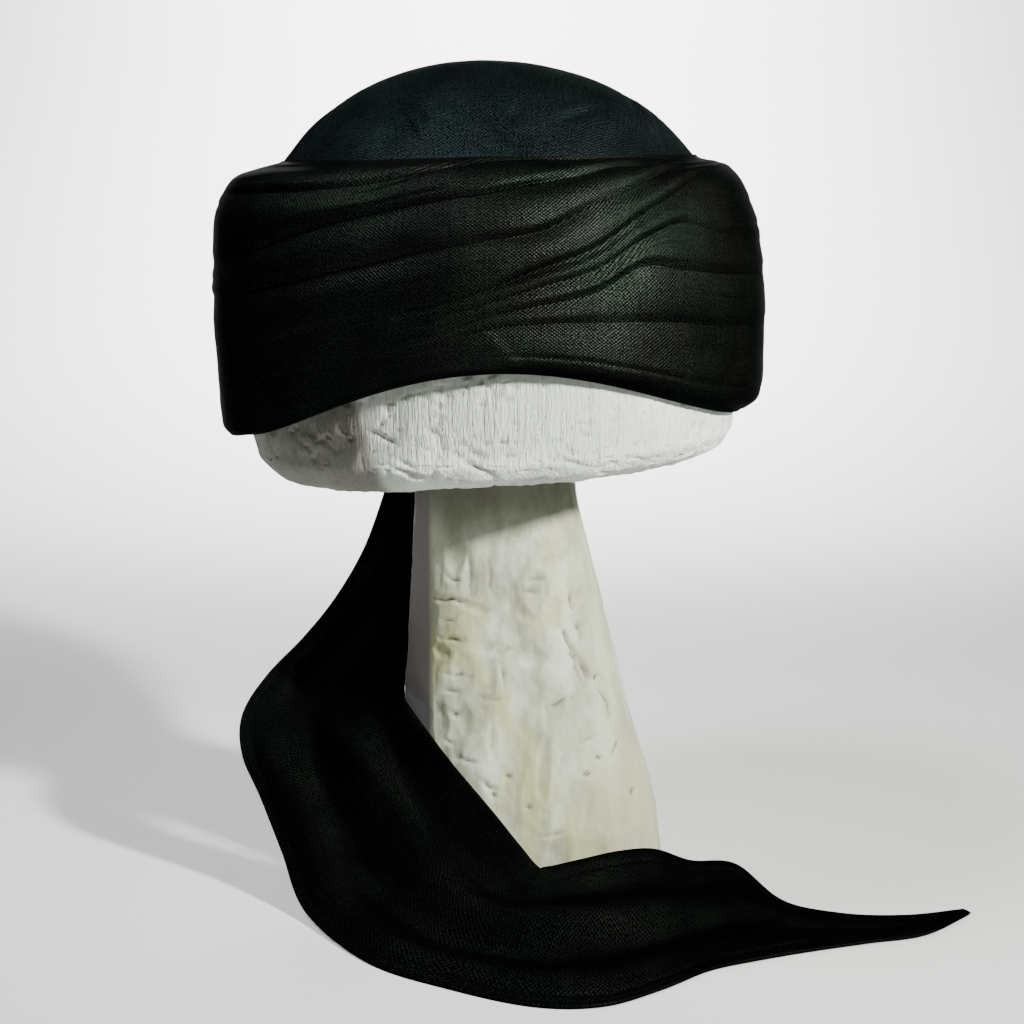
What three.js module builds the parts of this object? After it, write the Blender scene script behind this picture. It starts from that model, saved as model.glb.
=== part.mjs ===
// Black wound turban on a white display stand: a domed cap, eight wound turns of cloth round it,
// and a tail that hangs from the back, comes round the left and lies pointed across the front.
// Millimetres, Z up, the front of the turban towards -Y, the origin on the flat of the stand's foot.
import * as THREE from 'three';

const GAP = 0.3;               // clear space between neighbouring pieces
const FLOOR_GAP = 0.2;         // the tail's underside over the floor
const COLUMNS = 48;            // sections round the head

// Turban
const CENTRE_X = -1.6;         // middle of the wrap across the photograph
const WRAP_HALF_WIDTH = 101.6;
const WRAP_HALF_DEPTH = 107.6;
const HEM_HEIGHT = 184;        // lower edge of the wrap at the sides
const FOREHEAD_RISE = 24;      // how far the lower edge arches up in front
const NAPE_DROP = 3;           // how far it falls at the back
const BRIM_HEIGHT = 279;       // upper edge of the wrap at the sides
const BRIM_TILT = 3;           // lower in front, higher at the back
const CAP_CLOTH = 1.8;         // thickness of the cap
const CAP_RIM_DROP = 1.1;      // the cap's rim shows this far below the wrap, on average
const CAP_RIM_SLOPE = 0.8;     // and this much more at the right, less at the left
const CAP_EXTRA_DEPTH = 5.1;   // the cap is this much longer front to back, per side
const CAP_WALL = 92.8;         // half width of the cap's upright side
const WRAP_CLEARANCE = 0.8;     // from the cap to the wrap over it

// Stand
const POST_COLUMNS = 32;
const POST_SQUARENESS = 2.6;   // exponent of the post's rounded section
const POST_BEVEL = 3;          // worn edge round the foot

// Tail
const TAIL_CLOTH = 2.4;
const TAIL_STATIONS = 34;
const TAIL_STRIPS = 9;

const CLOTH_BLACK = 0x11171a;
const PAINT_WHITE = 0xe4e3dc;
const PAINT_WORN = 0xcfc8b4;

// The whole head leans a little: share of x added to the height, by height.
const LEAN = [
  { height: 165, lean: 0.042 },
  { height: 190, lean: 0.054 },
  { height: 280, lean: 0.015 },
  { height: 313, lean: 0.0 },
];

// The cap's outer side, from its upright wall to the crown: half its width, and where its middle is.
const CAP_PROFILE = [
  { height: 240, half: 92.8, centre: -0.8 },
  { height: 251, half: 89.8, centre: -0.9 },
  { height: 262, half: 85.0, centre: -1.1 },
  { height: 272, half: 78.8, centre: -1.4 },
  { height: 281, half: 72.4, centre: -1.8 },
  { height: 289, half: 65.4, centre: -2.1 },
  { height: 296, half: 56.8, centre: -2.2 },
  { height: 303, half: 45.6, centre: -2.2 },
  { height: 308.3, half: 32.4, centre: -2.2 },
  { height: 311.6, half: 16.6, centre: -2.2 },
  { height: 312.8, half: 0.0, centre: -2.2 },
];

// The wrap's outline from its lower edge over the shoulder to its upper edge.
// share: way along the outline; rise: share of its height; left and right: inset from its widest;
// core: height of the same point on the cap behind it, as a share.
const WRAP_PROFILE = [
  { share: 0.0, rise: 0.0, left: 5.0, right: 6.0, core: 0.0 },
  { share: 0.03, rise: 0.025, left: 3.0, right: 2.5, core: 0.03 },
  { share: 0.08, rise: 0.075, left: 2.0, right: 0.8, core: 0.08 },
  { share: 0.2, rise: 0.22, left: 1.2, right: 0.0, core: 0.21 },
  { share: 0.38, rise: 0.45, left: 0.0, right: 0.0, core: 0.42 },
  { share: 0.5, rise: 0.6, left: 0.0, right: 1.3, core: 0.55 },
  { share: 0.6, rise: 0.72, left: 0.8, right: 3.0, core: 0.65 },
  { share: 0.69, rise: 0.83, left: 2.2, right: 6.4, core: 0.74 },
  { share: 0.75, rise: 0.9, left: 5.2, right: 9.4, core: 0.79 },
  { share: 0.8, rise: 0.945, left: 9.5, right: 12.8, core: 0.835 },
  { share: 0.86, rise: 0.97, left: 16.5, right: 17.3, core: 0.885 },
  { share: 0.93, rise: 0.99, left: 24.0, right: 24.5, core: 0.94 },
  { share: 1.0, rise: 1.0, left: 28.0, right: 28.0, core: 0.985 },
];

// Where each turn's upper edge runs, as a share of the outline, by azimuth
// (degrees, 0 in front, positive to the right in the photograph).
const TURN_EDGES = [
  { azimuth: -180, first: 0.16, second: 0.3, third: 0.43, fourth: 0.55, fifth: 0.66, sixth: 0.77, seventh: 0.88 },
  { azimuth: -140, first: 0.13, second: 0.25, third: 0.36, fourth: 0.46, fifth: 0.57, sixth: 0.69, seventh: 0.82 },
  { azimuth: -100, first: 0.1, second: 0.18, third: 0.25, fourth: 0.32, fifth: 0.45, sixth: 0.57, seventh: 0.76 },
  { azimuth: -65, first: 0.09, second: 0.16, third: 0.22, fourth: 0.275, fifth: 0.423, sixth: 0.53, seventh: 0.735 },
  { azimuth: -50, first: 0.09, second: 0.16, third: 0.22, fourth: 0.275, fifth: 0.438, sixth: 0.56, seventh: 0.735 },
  { azimuth: -35, first: 0.09, second: 0.16, third: 0.22, fourth: 0.275, fifth: 0.447, sixth: 0.6, seventh: 0.733 },
  { azimuth: -20, first: 0.1, second: 0.165, third: 0.225, fourth: 0.28, fifth: 0.462, sixth: 0.632, seventh: 0.755 },
  { azimuth: -10, first: 0.11, second: 0.175, third: 0.235, fourth: 0.29, fifth: 0.487, sixth: 0.66, seventh: 0.83 },
  { azimuth: 0, first: 0.13, second: 0.2, third: 0.265, fourth: 0.334, fifth: 0.511, sixth: 0.686, seventh: 0.92 },
  { azimuth: 10, first: 0.175, second: 0.255, third: 0.335, fourth: 0.411, fifth: 0.548, sixth: 0.725, seventh: 0.945 },
  { azimuth: 20, first: 0.233, second: 0.335, third: 0.415, fourth: 0.49, fifth: 0.64, sixth: 0.765, seventh: 0.95 },
  { azimuth: 30, first: 0.256, second: 0.44, third: 0.53, fourth: 0.61, fifth: 0.71, sixth: 0.83, seventh: 0.952 },
  { azimuth: 40, first: 0.274, second: 0.443, third: 0.6, fourth: 0.69, fifth: 0.78, sixth: 0.87, seventh: 0.953 },
  { azimuth: 52, first: 0.28, second: 0.443, third: 0.577, fourth: 0.775, fifth: 0.84, sixth: 0.9, seventh: 0.955 },
  { azimuth: 67, first: 0.287, second: 0.448, third: 0.557, fourth: 0.81, fifth: 0.865, sixth: 0.912, seventh: 0.957 },
  { azimuth: 90, first: 0.28, second: 0.44, third: 0.545, fourth: 0.79, fifth: 0.855, sixth: 0.905, seventh: 0.955 },
  { azimuth: 120, first: 0.25, second: 0.4, third: 0.515, fourth: 0.72, fifth: 0.8, sixth: 0.87, seventh: 0.94 },
  { azimuth: 150, first: 0.2, second: 0.345, third: 0.47, fourth: 0.62, fifth: 0.72, sixth: 0.82, seventh: 0.91 },
];

// How far each turn steps back under the lip of the next one up, in mm.
const EDGE_RELIEF = { first: 1.0, second: 1.1, third: 1.1, fourth: 1.8, fifth: 2.3, sixth: 2.4, seventh: 2.0 };
const EDGE_NAMES = Object.keys(EDGE_RELIEF);
const OUTLINE_LENGTH = 118;    // of the wrap, lower edge to upper edge
const LIP_ROUND = 1.1;         // the lip's underside sits back this far
const TURN_SPACE = 0.9;        // between a turn's upper edge and the next one's lip
const TUCK = 0.045;            // a turn reaches this share further up behind the next one

// Across one turn: way from its lip to its upper edge, share of the lip's and the edge's set-back.
const TURN_ACROSS = [
  { way: 0.0, lip: 1.0, back: 0.0, swell: 0.0 },
  { way: 0.12, lip: 0.1, back: 0.0, swell: 0.5 },
  { way: 0.42, lip: 0.0, back: 0.05, swell: 1.0 },
  { way: 0.76, lip: 0.0, back: 0.5, swell: 0.6 },
  { way: 1.0, lip: 0.0, back: 1.0, swell: 0.0 },
];
const TURN_SWELL = 0.5;        // soft fullness of a turn, in mm

// The post, by height: its left, right edges across the photograph and half its depth.
const POST_PROFILE = [
  { height: 166, left: -30.0, right: 29.0, depth: 27.0 },
  { height: 145, left: -30.5, right: 33.0, depth: 29.0 },
  { height: 116, left: -32.0, right: 40.5, depth: 32.0 },
  { height: 93, left: -33.5, right: 46.5, depth: 35.0 },
  { height: 73, left: -35.0, right: 51.5, depth: 38.0 },
  { height: 54, left: -36.5, right: 57.0, depth: 40.5 },
  { height: 32, left: -38.5, right: 63.0, depth: 43.0 },
  { height: 14, left: -40.0, right: 65.0, depth: 44.0 },
];

// The stand's block under the cap, below its upright side.
const BLOCK_PROFILE = [
  { height: 205, inset: 0.0 },
  { height: 179.6, inset: 0.0 },
  { height: 177.6, inset: -0.2 },
  { height: 174.2, inset: 1.6 },
  { height: 170.5, inset: 6.4 },
  { height: 168.5, inset: 13.5 },
];

// The tail, station by station from the nape to the tip. o: the edge on the outside of the hanging
// part and nearest the viewer on the floor; i: the other edge. bow: how far the middle of the cloth
// stands forward of the line between them; fold: height of the folds across it.
const TAIL = [
  { ox: -37, oy: 93.2, oz: 178.6, ix: 11.7, iy: 98.9, iz: 180.8, bow: -3.2, fold: 0.0 },
  { ox: -42, oy: 94, oz: 160, ix: 10, iy: 99.5, iz: 162, bow: -2.8, fold: 0.8 },
  { ox: -48, oy: 91, oz: 141, ix: 7, iy: 98, iz: 141, bow: -2.6, fold: 2.0 },
  { ox: -56, oy: 76, oz: 118.5, ix: 0, iy: 88, iz: 119, bow: -2.6, fold: 2.4 },
  { ox: -66.5, oy: 58, oz: 101, ix: -10, iy: 72, iz: 103, bow: -2.6, fold: 2.6 },
  { ox: -78, oy: 41, oz: 88, ix: -22, iy: 57, iz: 91, bow: -2.8, fold: 2.8 },
  { ox: -91.5, oy: 22, oz: 76, ix: -34, iy: 43, iz: 82, bow: -3.0, fold: 3.0 },
  { ox: -99, oy: 6, oz: 65, ix: -38.5, iy: 20, iz: 79, bow: -4.0, fold: 3.5 },
  { ox: -97.5, oy: -7, oz: 53, ix: -39, iy: -7, iz: 79.5, bow: -3.5, fold: 3.5 },
  { ox: -89.5, oy: -15, oz: 38, ix: -33, iy: -29, iz: 78, bow: -3.0, fold: 3.5 },
  { ox: -81, oy: -23, oz: 20, ix: -16, iy: -42, iz: 62, bow: -2.0, fold: 3.5 },
  { ox: -70, oy: -42, oz: 4, ix: 2.5, iy: -50, iz: 41, bow: -2.0, fold: 3.5 },
  { ox: -43, oy: -80, oz: 1.5, ix: 13, iy: -56, iz: 28, bow: -2.0, fold: 3.5 },
  { ox: -14, oy: -100, oz: 1.5, ix: 21, iy: -57, iz: 26.5, bow: -2.0, fold: 3.5 },
  { ox: 14, oy: -113, oz: 1.5, ix: 32, iy: -54, iz: 28, bow: -2.0, fold: 3.5 },
  { ox: 37, oy: -113, oz: 1.5, ix: 46, iy: -46, iz: 28, bow: -2.0, fold: 3.2 },
  { ox: 57, oy: -101, oz: 1.5, ix: 60, iy: -36, iz: 25, bow: -2.0, fold: 2.8 },
  { ox: 75, oy: -86, oz: 1.5, ix: 75, iy: -23, iz: 15.5, bow: -1.5, fold: 2.4 },
  { ox: 92, oy: -78, oz: 1.5, ix: 93, iy: -15, iz: 11, bow: -0.5, fold: 1.8 },
  { ox: 113, oy: -70, oz: 1.5, ix: 109, iy: -29, iz: 2.4, bow: 0.5, fold: 1.4 },
  { ox: 135, oy: -63, oz: 1.5, ix: 130, iy: -39, iz: 1.5, bow: 0.8, fold: 0.8 },
  { ox: 157, oy: -56, oz: 1.5, ix: 154, iy: -40.5, iz: 1.5, bow: 0.5, fold: 0.4 },
  { ox: 178.5, oy: -37, oz: 1.5, ix: 177.5, iy: -34.5, iz: 1.5, bow: 0.0, fold: 0.0 },
];
const TAIL_FOLDS = 2.3;        // folds across the tail's width
const TAIL_FOLD_START = -0.85; // where the first fold begins, in radians

// A column of a table at a key, straight between its rows.
function along(table, key, column, at) {
  let row = 1;
  while (row < table.length - 1 && ((table[row][key] < at) === (table[0][key] < table[1][key]))) row += 1;
  const low = table[row - 1];
  const high = table[row];
  const way = THREE.MathUtils.clamp((at - low[key]) / (high[key] - low[key]), 0, 1);
  return low[column] + way * (high[column] - low[column]);
}

// A smooth curve through four evenly weighted values.
function smooth(a, b, c, d, way) {
  const square = way * way;
  const cube = square * way;
  return 0.5 * (2 * b + (c - a) * way + (2 * a - 5 * b + 4 * c - d) * square + (3 * b - a - 3 * c + d) * cube);
}

function leanAt(height) {
  return along(LEAN, 'height', 'lean', height);
}

// A point round the head: azimuth in radians, half width, half depth, upright height, middle in x.
function roundHead(azimuth, halfWidth, halfDepth, height, centre) {
  const x = centre + halfWidth * Math.sin(azimuth);
  const y = -halfDepth * Math.cos(azimuth);
  return new THREE.Vector3(x, y, height + x * leanAt(height));
}

function hemHeight(azimuth) {
  const forward = Math.cos(azimuth);
  return HEM_HEIGHT + FOREHEAD_RISE * Math.max(0, forward) ** 3 - NAPE_DROP * Math.max(0, -forward) ** 2;
}

function brimHeight(azimuth) {
  return BRIM_HEIGHT - BRIM_TILT * Math.cos(azimuth);
}

function capHalf(height) {
  return height <= CAP_PROFILE[0].height ? CAP_WALL : along(CAP_PROFILE, 'height', 'half', height);
}

function capCentre(height) {
  return along(CAP_PROFILE, 'height', 'centre', height);
}

// A point of the cap's outer side moved outward by some millimetres, square to its profile.
function capPoint(azimuth, height, outward) {
  const step = 2;
  const slope = height > CAP_PROFILE[0].height - step ? (capHalf(height - step) - capHalf(height + step)) / (2 * step) : 0;
  const size = Math.hypot(1, slope);
  const half = capHalf(height);
  const depth = half + CAP_EXTRA_DEPTH * half / CAP_WALL;
  const lifted = height + outward * slope / size;
  return roundHead(azimuth, half + outward / size, depth + outward / size, lifted, capCentre(height));
}

// A point on the wrap's outer side at a share of its outline, set back by some millimetres.
function wrapPoint(azimuth, share, setBack) {
  const right = THREE.MathUtils.smoothstep(Math.sin(azimuth), -1, 1);
  const hem = hemHeight(azimuth);
  const rise = along(WRAP_PROFILE, 'share', 'rise', share);
  const inset = (1 - right) * along(WRAP_PROFILE, 'share', 'left', share)
    + right * along(WRAP_PROFILE, 'share', 'right', share);
  const upward = THREE.MathUtils.smoothstep(share, 0.66, 0.95) * Math.PI / 2;
  const inward = inset + setBack * Math.cos(upward);
  const height = hem + rise * (brimHeight(azimuth) - hem) - setBack * Math.sin(upward);
  const cap = capHalf(height) + 2 * WRAP_CLEARANCE;
  const capDepth = cap + CAP_EXTRA_DEPTH * cap / CAP_WALL;
  const halfWidth = Math.max(WRAP_HALF_WIDTH - inward, cap);
  return roundHead(azimuth, halfWidth, Math.max(WRAP_HALF_DEPTH - inward, capDepth), height, CENTRE_X);
}

// The same share of the outline on the wrap's inner side, against the cap.
function innerPoint(azimuth, share) {
  const hem = hemHeight(azimuth);
  const core = along(WRAP_PROFILE, 'share', 'core', Math.min(1, share));
  return capPoint(azimuth, hem + core * (brimHeight(azimuth) - hem), WRAP_CLEARANCE);
}

// One of the turns' edges at an azimuth, smooth all the way round.
function edgeShare(name, azimuth) {
  const count = TURN_EDGES.length;
  let degrees = THREE.MathUtils.euclideanModulo(THREE.MathUtils.radToDeg(azimuth) + 180, 360) - 180;
  if (degrees < TURN_EDGES[0].azimuth) degrees += 360;
  let row = 0;
  while (row < count - 1 && TURN_EDGES[row + 1].azimuth <= degrees) row += 1;
  const at = (index) => TURN_EDGES[THREE.MathUtils.euclideanModulo(index, count)];
  const next = row + 1 < count ? at(row + 1).azimuth : at(0).azimuth + 360;
  const way = (degrees - at(row).azimuth) / (next - at(row).azimuth);
  return smooth(at(row - 1)[name], at(row)[name], at(row + 1)[name], at(row + 2)[name], way);
}

// The section of one turn: out over its face from the lip up, then back down its inner side.
function turnSection(index, azimuth) {
  const low = index === 0 ? 0 : edgeShare(EDGE_NAMES[index - 1], azimuth);
  const last = index === EDGE_NAMES.length;
  const spare = last ? 0 : TURN_SPACE / OUTLINE_LENGTH;
  const high = (last ? 1 : edgeShare(EDGE_NAMES[index], azimuth)) - spare;
  const width = (high - low) * OUTLINE_LENGTH;
  const back = last ? 0.3 : Math.min(EDGE_RELIEF[EDGE_NAMES[index]], 0.35 * width);
  const lip = index === 0 ? 0 : Math.min(LIP_ROUND, 0.2 * width);
  const swell = Math.min(TURN_SWELL, 0.05 * width);
  const points = TURN_ACROSS.map((row) => {
    const setBack = lip * row.lip + back * row.back - swell * row.swell;
    return wrapPoint(azimuth, low + row.way * (high - low), setBack);
  });
  const tuckedLow = index === 0 ? 0 : Math.min(low + TUCK, 0.5 * (low + 1));
  const tuckedHigh = last ? 1 : Math.min(high + TUCK, 0.5 * (high + 1));
  for (const way of [1, 0.5, 0]) points.push(innerPoint(azimuth, tuckedLow + way * (tuckedHigh - tuckedLow)));
  return points;
}

// A closed solid from numbered points and triangles, turned so that it faces out.
function closedSolid(points, triangles) {
  let volume = 0;
  for (const [a, b, c] of triangles) volume += points[a].dot(points[b].clone().cross(points[c]));
  const index = triangles.flatMap(([a, b, c]) => (volume < 0 ? [a, c, b] : [a, b, c]));
  const geometry = new THREE.BufferGeometry().setFromPoints(points);
  geometry.setIndex(index);
  geometry.computeVertexNormals();
  return geometry;
}

// A ring of closed sections. The last side of a section is cut along its other diagonal, so that
// it runs even with the neighbouring turn's side that it faces.
function ringSolid(sections) {
  const rows = sections[0].length;
  const triangles = [];
  sections.forEach((section, column) => {
    for (let row = 0; row < rows; row += 1) {
      const here = column * rows;
      const next = ((column + 1) % sections.length) * rows;
      const up = (row + 1) % rows;
      if (row < rows - 1) triangles.push([here + row, next + row, next + up], [here + row, next + up, here + up]);
      else triangles.push([here + row, next + row, here + up], [next + row, next + up, here + up]);
    }
  });
  return closedSolid(sections.flat(), triangles);
}

// A round solid between two poles: rings of points from the first pole to the last one.
function poledSolid(first, rings, last) {
  const count = rings[0].length;
  const points = [first, ...rings.flat(), last];
  const end = points.length - 1;
  const triangles = [];
  for (let column = 0; column < count; column += 1) {
    const next = (column + 1) % count;
    triangles.push([0, 1 + column, 1 + next]);
    for (let ring = 0; ring < rings.length - 1; ring += 1) {
      const here = 1 + ring * count;
      const below = here + count;
      triangles.push([here + column, below + column, below + next], [here + column, below + next, here + next]);
    }
    triangles.push([end, end - count + next, end - count + column]);
  }
  return closedSolid(points, triangles);
}

function azimuths(count) {
  return Array.from({ length: count }, (unused, column) => (column / count) * 2 * Math.PI);
}

function capGeometry() {
  const upper = CAP_PROFILE.slice(0, -1).reverse();
  const ring = (height, outward) => azimuths(COLUMNS).map((azimuth) => capPoint(azimuth, height, outward));
  const rimHeight = (azimuth) => hemHeight(azimuth) - CAP_RIM_DROP - CAP_RIM_SLOPE * Math.sin(azimuth);
  const rim = (outward) => azimuths(COLUMNS).map((azimuth) => capPoint(azimuth, rimHeight(azimuth), outward));
  const rings = [
    ...upper.map((row) => ring(row.height, 0)),
    rim(0),
    rim(-CAP_CLOTH),
    ...upper.reverse().map((row) => ring(row.height, -CAP_CLOTH)),
  ];
  const crown = CAP_PROFILE[CAP_PROFILE.length - 1].height;
  const pole = (height) => roundHead(0, 0, 0, height, capCentre(height));
  return poledSolid(pole(crown), rings, pole(crown - CAP_CLOTH));
}

function blockGeometry() {
  const inset = CAP_CLOTH + GAP;
  const rings = [
    ...CAP_PROFILE.slice(0, -1).reverse().map((row) => azimuths(COLUMNS).map((azimuth) => capPoint(azimuth, row.height, -inset))),
    ...BLOCK_PROFILE.map((row) => azimuths(COLUMNS).map((azimuth) => capPoint(azimuth, row.height, -inset - row.inset))),
  ];
  const crown = CAP_PROFILE[CAP_PROFILE.length - 1].height;
  const underside = BLOCK_PROFILE[BLOCK_PROFILE.length - 1].height;
  const pole = (height) => roundHead(0, 0, 0, height, capCentre(height));
  return poledSolid(pole(crown - inset), rings, pole(underside));
}

// The post's rounded-square section at a height.
function postRing(row, height, shrink) {
  const middle = (row.left + row.right) / 2;
  return azimuths(POST_COLUMNS).map((azimuth) => {
    const side = Math.sin(azimuth);
    const forward = Math.cos(azimuth);
    const size = (Math.abs(side) ** POST_SQUARENESS + Math.abs(forward) ** POST_SQUARENESS) ** (-1 / POST_SQUARENESS);
    const x = middle + ((row.right - row.left) / 2 - shrink) * side * size;
    return new THREE.Vector3(x, -(row.depth - shrink) * forward * size, height(x));
  });
}

function postGeometry() {
  const underside = BLOCK_PROFILE[BLOCK_PROFILE.length - 1].height - GAP;
  const top = (x) => underside + x * leanAt(underside);
  const foot = POST_PROFILE[POST_PROFILE.length - 1];
  const rings = [
    postRing(POST_PROFILE[0], top, 0),
    ...POST_PROFILE.slice(1).map((row) => postRing(row, () => row.height, 0)),
    postRing(foot, () => POST_BEVEL, 0),
    postRing(foot, () => 0, POST_BEVEL),
  ];
  return poledSolid(new THREE.Vector3(0, 0, top(0)), rings, new THREE.Vector3(0, 0, 0));
}

// The tail's middle surface at a way along it (0 to 1) and across it (0 the outer edge).
function tailPoint(way, across) {
  const last = TAIL.length - 1;
  const place = way * last;
  const row = Math.min(last - 1, Math.floor(place));
  const at = (index) => TAIL[THREE.MathUtils.clamp(index, 0, last)];
  const read = (name) => smooth(at(row - 1)[name], at(row)[name], at(row + 1)[name], at(row + 2)[name], place - row);
  const outer = new THREE.Vector3(read('ox'), read('oy'), read('oz'));
  const inner = new THREE.Vector3(read('ix'), read('iy'), read('iz'));
  const span = inner.clone().sub(outer);
  const raised = THREE.MathUtils.clamp((outer.z - 5) / 40, 0, 1);
  const sideways = new THREE.Vector3(span.y, -span.x, 0).normalize();
  const outward = sideways.multiplyScalar(raised).add(new THREE.Vector3(0, 0, 1 - raised)).normalize();
  const arch = 4 * across * (1 - across);
  const waves = Math.sin(2 * Math.PI * TAIL_FOLDS * across + TAIL_FOLD_START) * arch ** 0.5;
  const point = outer.addScaledVector(span, across);
  point.addScaledVector(outward, read('bow') * arch + read('fold') * waves);
  return point;
}

function tailGeometry() {
  const grid = [];
  for (let station = 0; station < TAIL_STATIONS; station += 1) {
    const row = [];
    for (let strip = 0; strip <= TAIL_STRIPS; strip += 1) row.push(tailPoint(station / (TAIL_STATIONS - 1), strip / TAIL_STRIPS));
    grid.push(row);
  }
  const half = TAIL_CLOTH / 2;
  const clampIndex = (index, length) => THREE.MathUtils.clamp(index, 0, length - 1);
  const normalAt = (station, strip) => {
    const row = grid[station];
    const acrossCloth = row[clampIndex(strip + 1, row.length)].clone().sub(row[clampIndex(strip - 1, row.length)]);
    const alongCloth = grid[clampIndex(station + 1, grid.length)][strip].clone()
      .sub(grid[clampIndex(station - 1, grid.length)][strip]);
    return acrossCloth.cross(alongCloth).normalize();
  };
  const face = (side) => grid.map((row, station) => row.map((point, strip) => {
    const moved = point.clone().addScaledVector(normalAt(station, strip), side * half);
    return moved;
  }));
  const top = face(1);
  const bottom = face(-1);
  const sections = top.map((row, station) => {
    const lower = bottom[station].slice().reverse();
    const section = [...row, ...lower];
    const floor = FLOOR_GAP;
    row.forEach((point, strip) => {
      const under = bottom[station][strip];
      const lift = floor - Math.min(point.z, under.z);
      if (lift > 0) {
        point.z += lift;
        under.z += lift;
      }
    });
    return section;
  });
  const rows = sections[0].length;
  const points = sections.flat();
  const triangles = [];
  for (let station = 0; station < sections.length - 1; station += 1) {
    for (let row = 0; row < rows; row += 1) {
      const here = station * rows;
      const next = here + rows;
      const up = (row + 1) % rows;
      triangles.push([here + row, next + row, next + up], [here + row, next + up, here + up]);
    }
  }
  const endStart = (sections.length - 1) * rows;
  for (let strip = 0; strip < TAIL_STRIPS; strip += 1) {
    const far = rows - 1 - strip;
    triangles.push([strip, strip + 1, far - 1], [strip, far - 1, far]);
    triangles.push([endStart + strip, endStart + far, endStart + far - 1], [endStart + strip, endStart + far - 1, endStart + strip + 1]);
  }
  return closedSolid(points, triangles);
}

function piece(name, geometry, color, roughness) {
  const material = new THREE.MeshStandardMaterial({ color, roughness, metalness: 0 });
  const mesh = new THREE.Mesh(geometry, material);
  mesh.name = name;
  return mesh;
}

const group = new THREE.Group();
group.name = 'turban_on_stand';
group.add(piece('stand_post', postGeometry(), PAINT_WORN, 0.75));
group.add(piece('stand_block', blockGeometry(), PAINT_WHITE, 0.7));
group.add(piece('cap', capGeometry(), CLOTH_BLACK, 0.85));
for (let turn = 0; turn <= EDGE_NAMES.length; turn += 1) {
  const sections = azimuths(COLUMNS).map((azimuth) => turnSection(turn, azimuth));
  group.add(piece(`turn_${turn + 1}`, ringSolid(sections), CLOTH_BLACK, 0.8));
}
group.add(piece('tail', tailGeometry(), CLOTH_BLACK, 0.8));

export default group;
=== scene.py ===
import bpy
import math
import numpy as np
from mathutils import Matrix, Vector


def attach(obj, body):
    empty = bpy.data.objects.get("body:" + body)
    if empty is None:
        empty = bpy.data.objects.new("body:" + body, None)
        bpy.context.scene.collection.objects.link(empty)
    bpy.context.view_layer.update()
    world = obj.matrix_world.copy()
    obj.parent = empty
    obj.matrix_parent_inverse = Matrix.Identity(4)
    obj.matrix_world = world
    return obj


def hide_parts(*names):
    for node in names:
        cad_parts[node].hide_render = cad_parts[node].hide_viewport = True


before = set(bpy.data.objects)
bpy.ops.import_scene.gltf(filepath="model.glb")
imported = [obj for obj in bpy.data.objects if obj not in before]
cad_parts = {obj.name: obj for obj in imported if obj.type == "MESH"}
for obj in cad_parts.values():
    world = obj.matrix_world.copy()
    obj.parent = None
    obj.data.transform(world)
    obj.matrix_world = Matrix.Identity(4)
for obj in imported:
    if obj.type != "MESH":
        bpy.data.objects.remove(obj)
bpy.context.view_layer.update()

MM = 0.001
CAMERA_PLACE = (6.84, -635.05, 254.02)
CAMERA_LOOKS_DOWN = 9.6
SWEEP = {
    "depth": (-1400, 300, 500, 700, 900, 1150, 1280, 1330, 1340),
    "height": (0, 0, 0, 0, 20, 130, 340, 640, 2400),
}
SWEEP_HALF_WIDTH = 1700
SWEEP_COLUMNS = 12
FLOOR_COLOUR = (0.72, 0.72, 0.71, 1)
SKY_COLOUR, SKY_STRENGTH = (0.95, 0.97, 1.0, 1), 0.03

camera = bpy.data.objects.new("camera", bpy.data.cameras.new("camera"))
camera.location = Vector(CAMERA_PLACE) * MM
camera.rotation_euler = (math.radians(90 - CAMERA_LOOKS_DOWN), 0, 0)
camera.data.lens = 59.41
camera.data.sensor_width = 36
bpy.context.collection.objects.link(camera)
bpy.context.scene.camera = camera


def skin(name, points, cloth=None, close_rows=False, close_columns=True):
    """A smooth mesh over a grid of points in mm, with its flat cloth laid out in mm as its UV.

    An end row that lies in one point becomes one point, and one folded on itself is joined up.
    """
    rows, columns = points.shape[:2]
    number = np.arange(rows * columns).reshape(rows, columns)
    for end in () if close_rows or not close_columns else (0, -1):
        if np.ptp(points[end], axis=0).max() < 1e-6:
            number[end] = number[end, 0]
        elif np.allclose(points[end], points[end][::-1]):
            number[end] = np.minimum(number[end], number[end][::-1])
    rows_round = rows if close_rows else rows - 1
    columns_round = columns if close_columns else columns - 1
    row, column = np.mgrid[0:rows_round, 0:columns_round]
    steps = ((0, 0), (0, 1), (1, 1), (1, 0))
    corners = np.stack([number[(row + down) % rows, (column + over) % columns] for down, over in steps], -1)
    used, corners = np.unique(corners.reshape(-1, 4), return_inverse=True)
    corners = corners.reshape(-1, 4)
    places = points.reshape(-1, 3)[used]
    first, second, third, fourth = (places[corners[:, corner]] for corner in range(4))
    inside_out = (first * (np.cross(second, third) + np.cross(third, fourth))).sum() < 0
    order = [3, 2, 1, 0] if inside_out else [0, 1, 2, 3]
    corners = corners[:, order]
    kept = corners != np.roll(corners, 1, 1)
    faces = [face[keep].tolist() for face, keep in zip(corners, kept)]
    mesh = bpy.data.meshes.new(name)
    mesh.from_pydata((places * MM).tolist(), [], faces)
    if cloth is not None:
        flat = np.stack([cloth[row + down, column + over] for down, over in steps], -2).reshape(-1, 4, 2)
        mesh.uv_layers.new(name="cloth").data.foreach_set("uv", flat[:, order][kept].reshape(-1))
    mesh.polygons.foreach_set("use_smooth", [True] * len(faces))
    made = bpy.data.objects.new(name, mesh)
    bpy.context.collection.objects.link(made)
    return made


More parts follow.
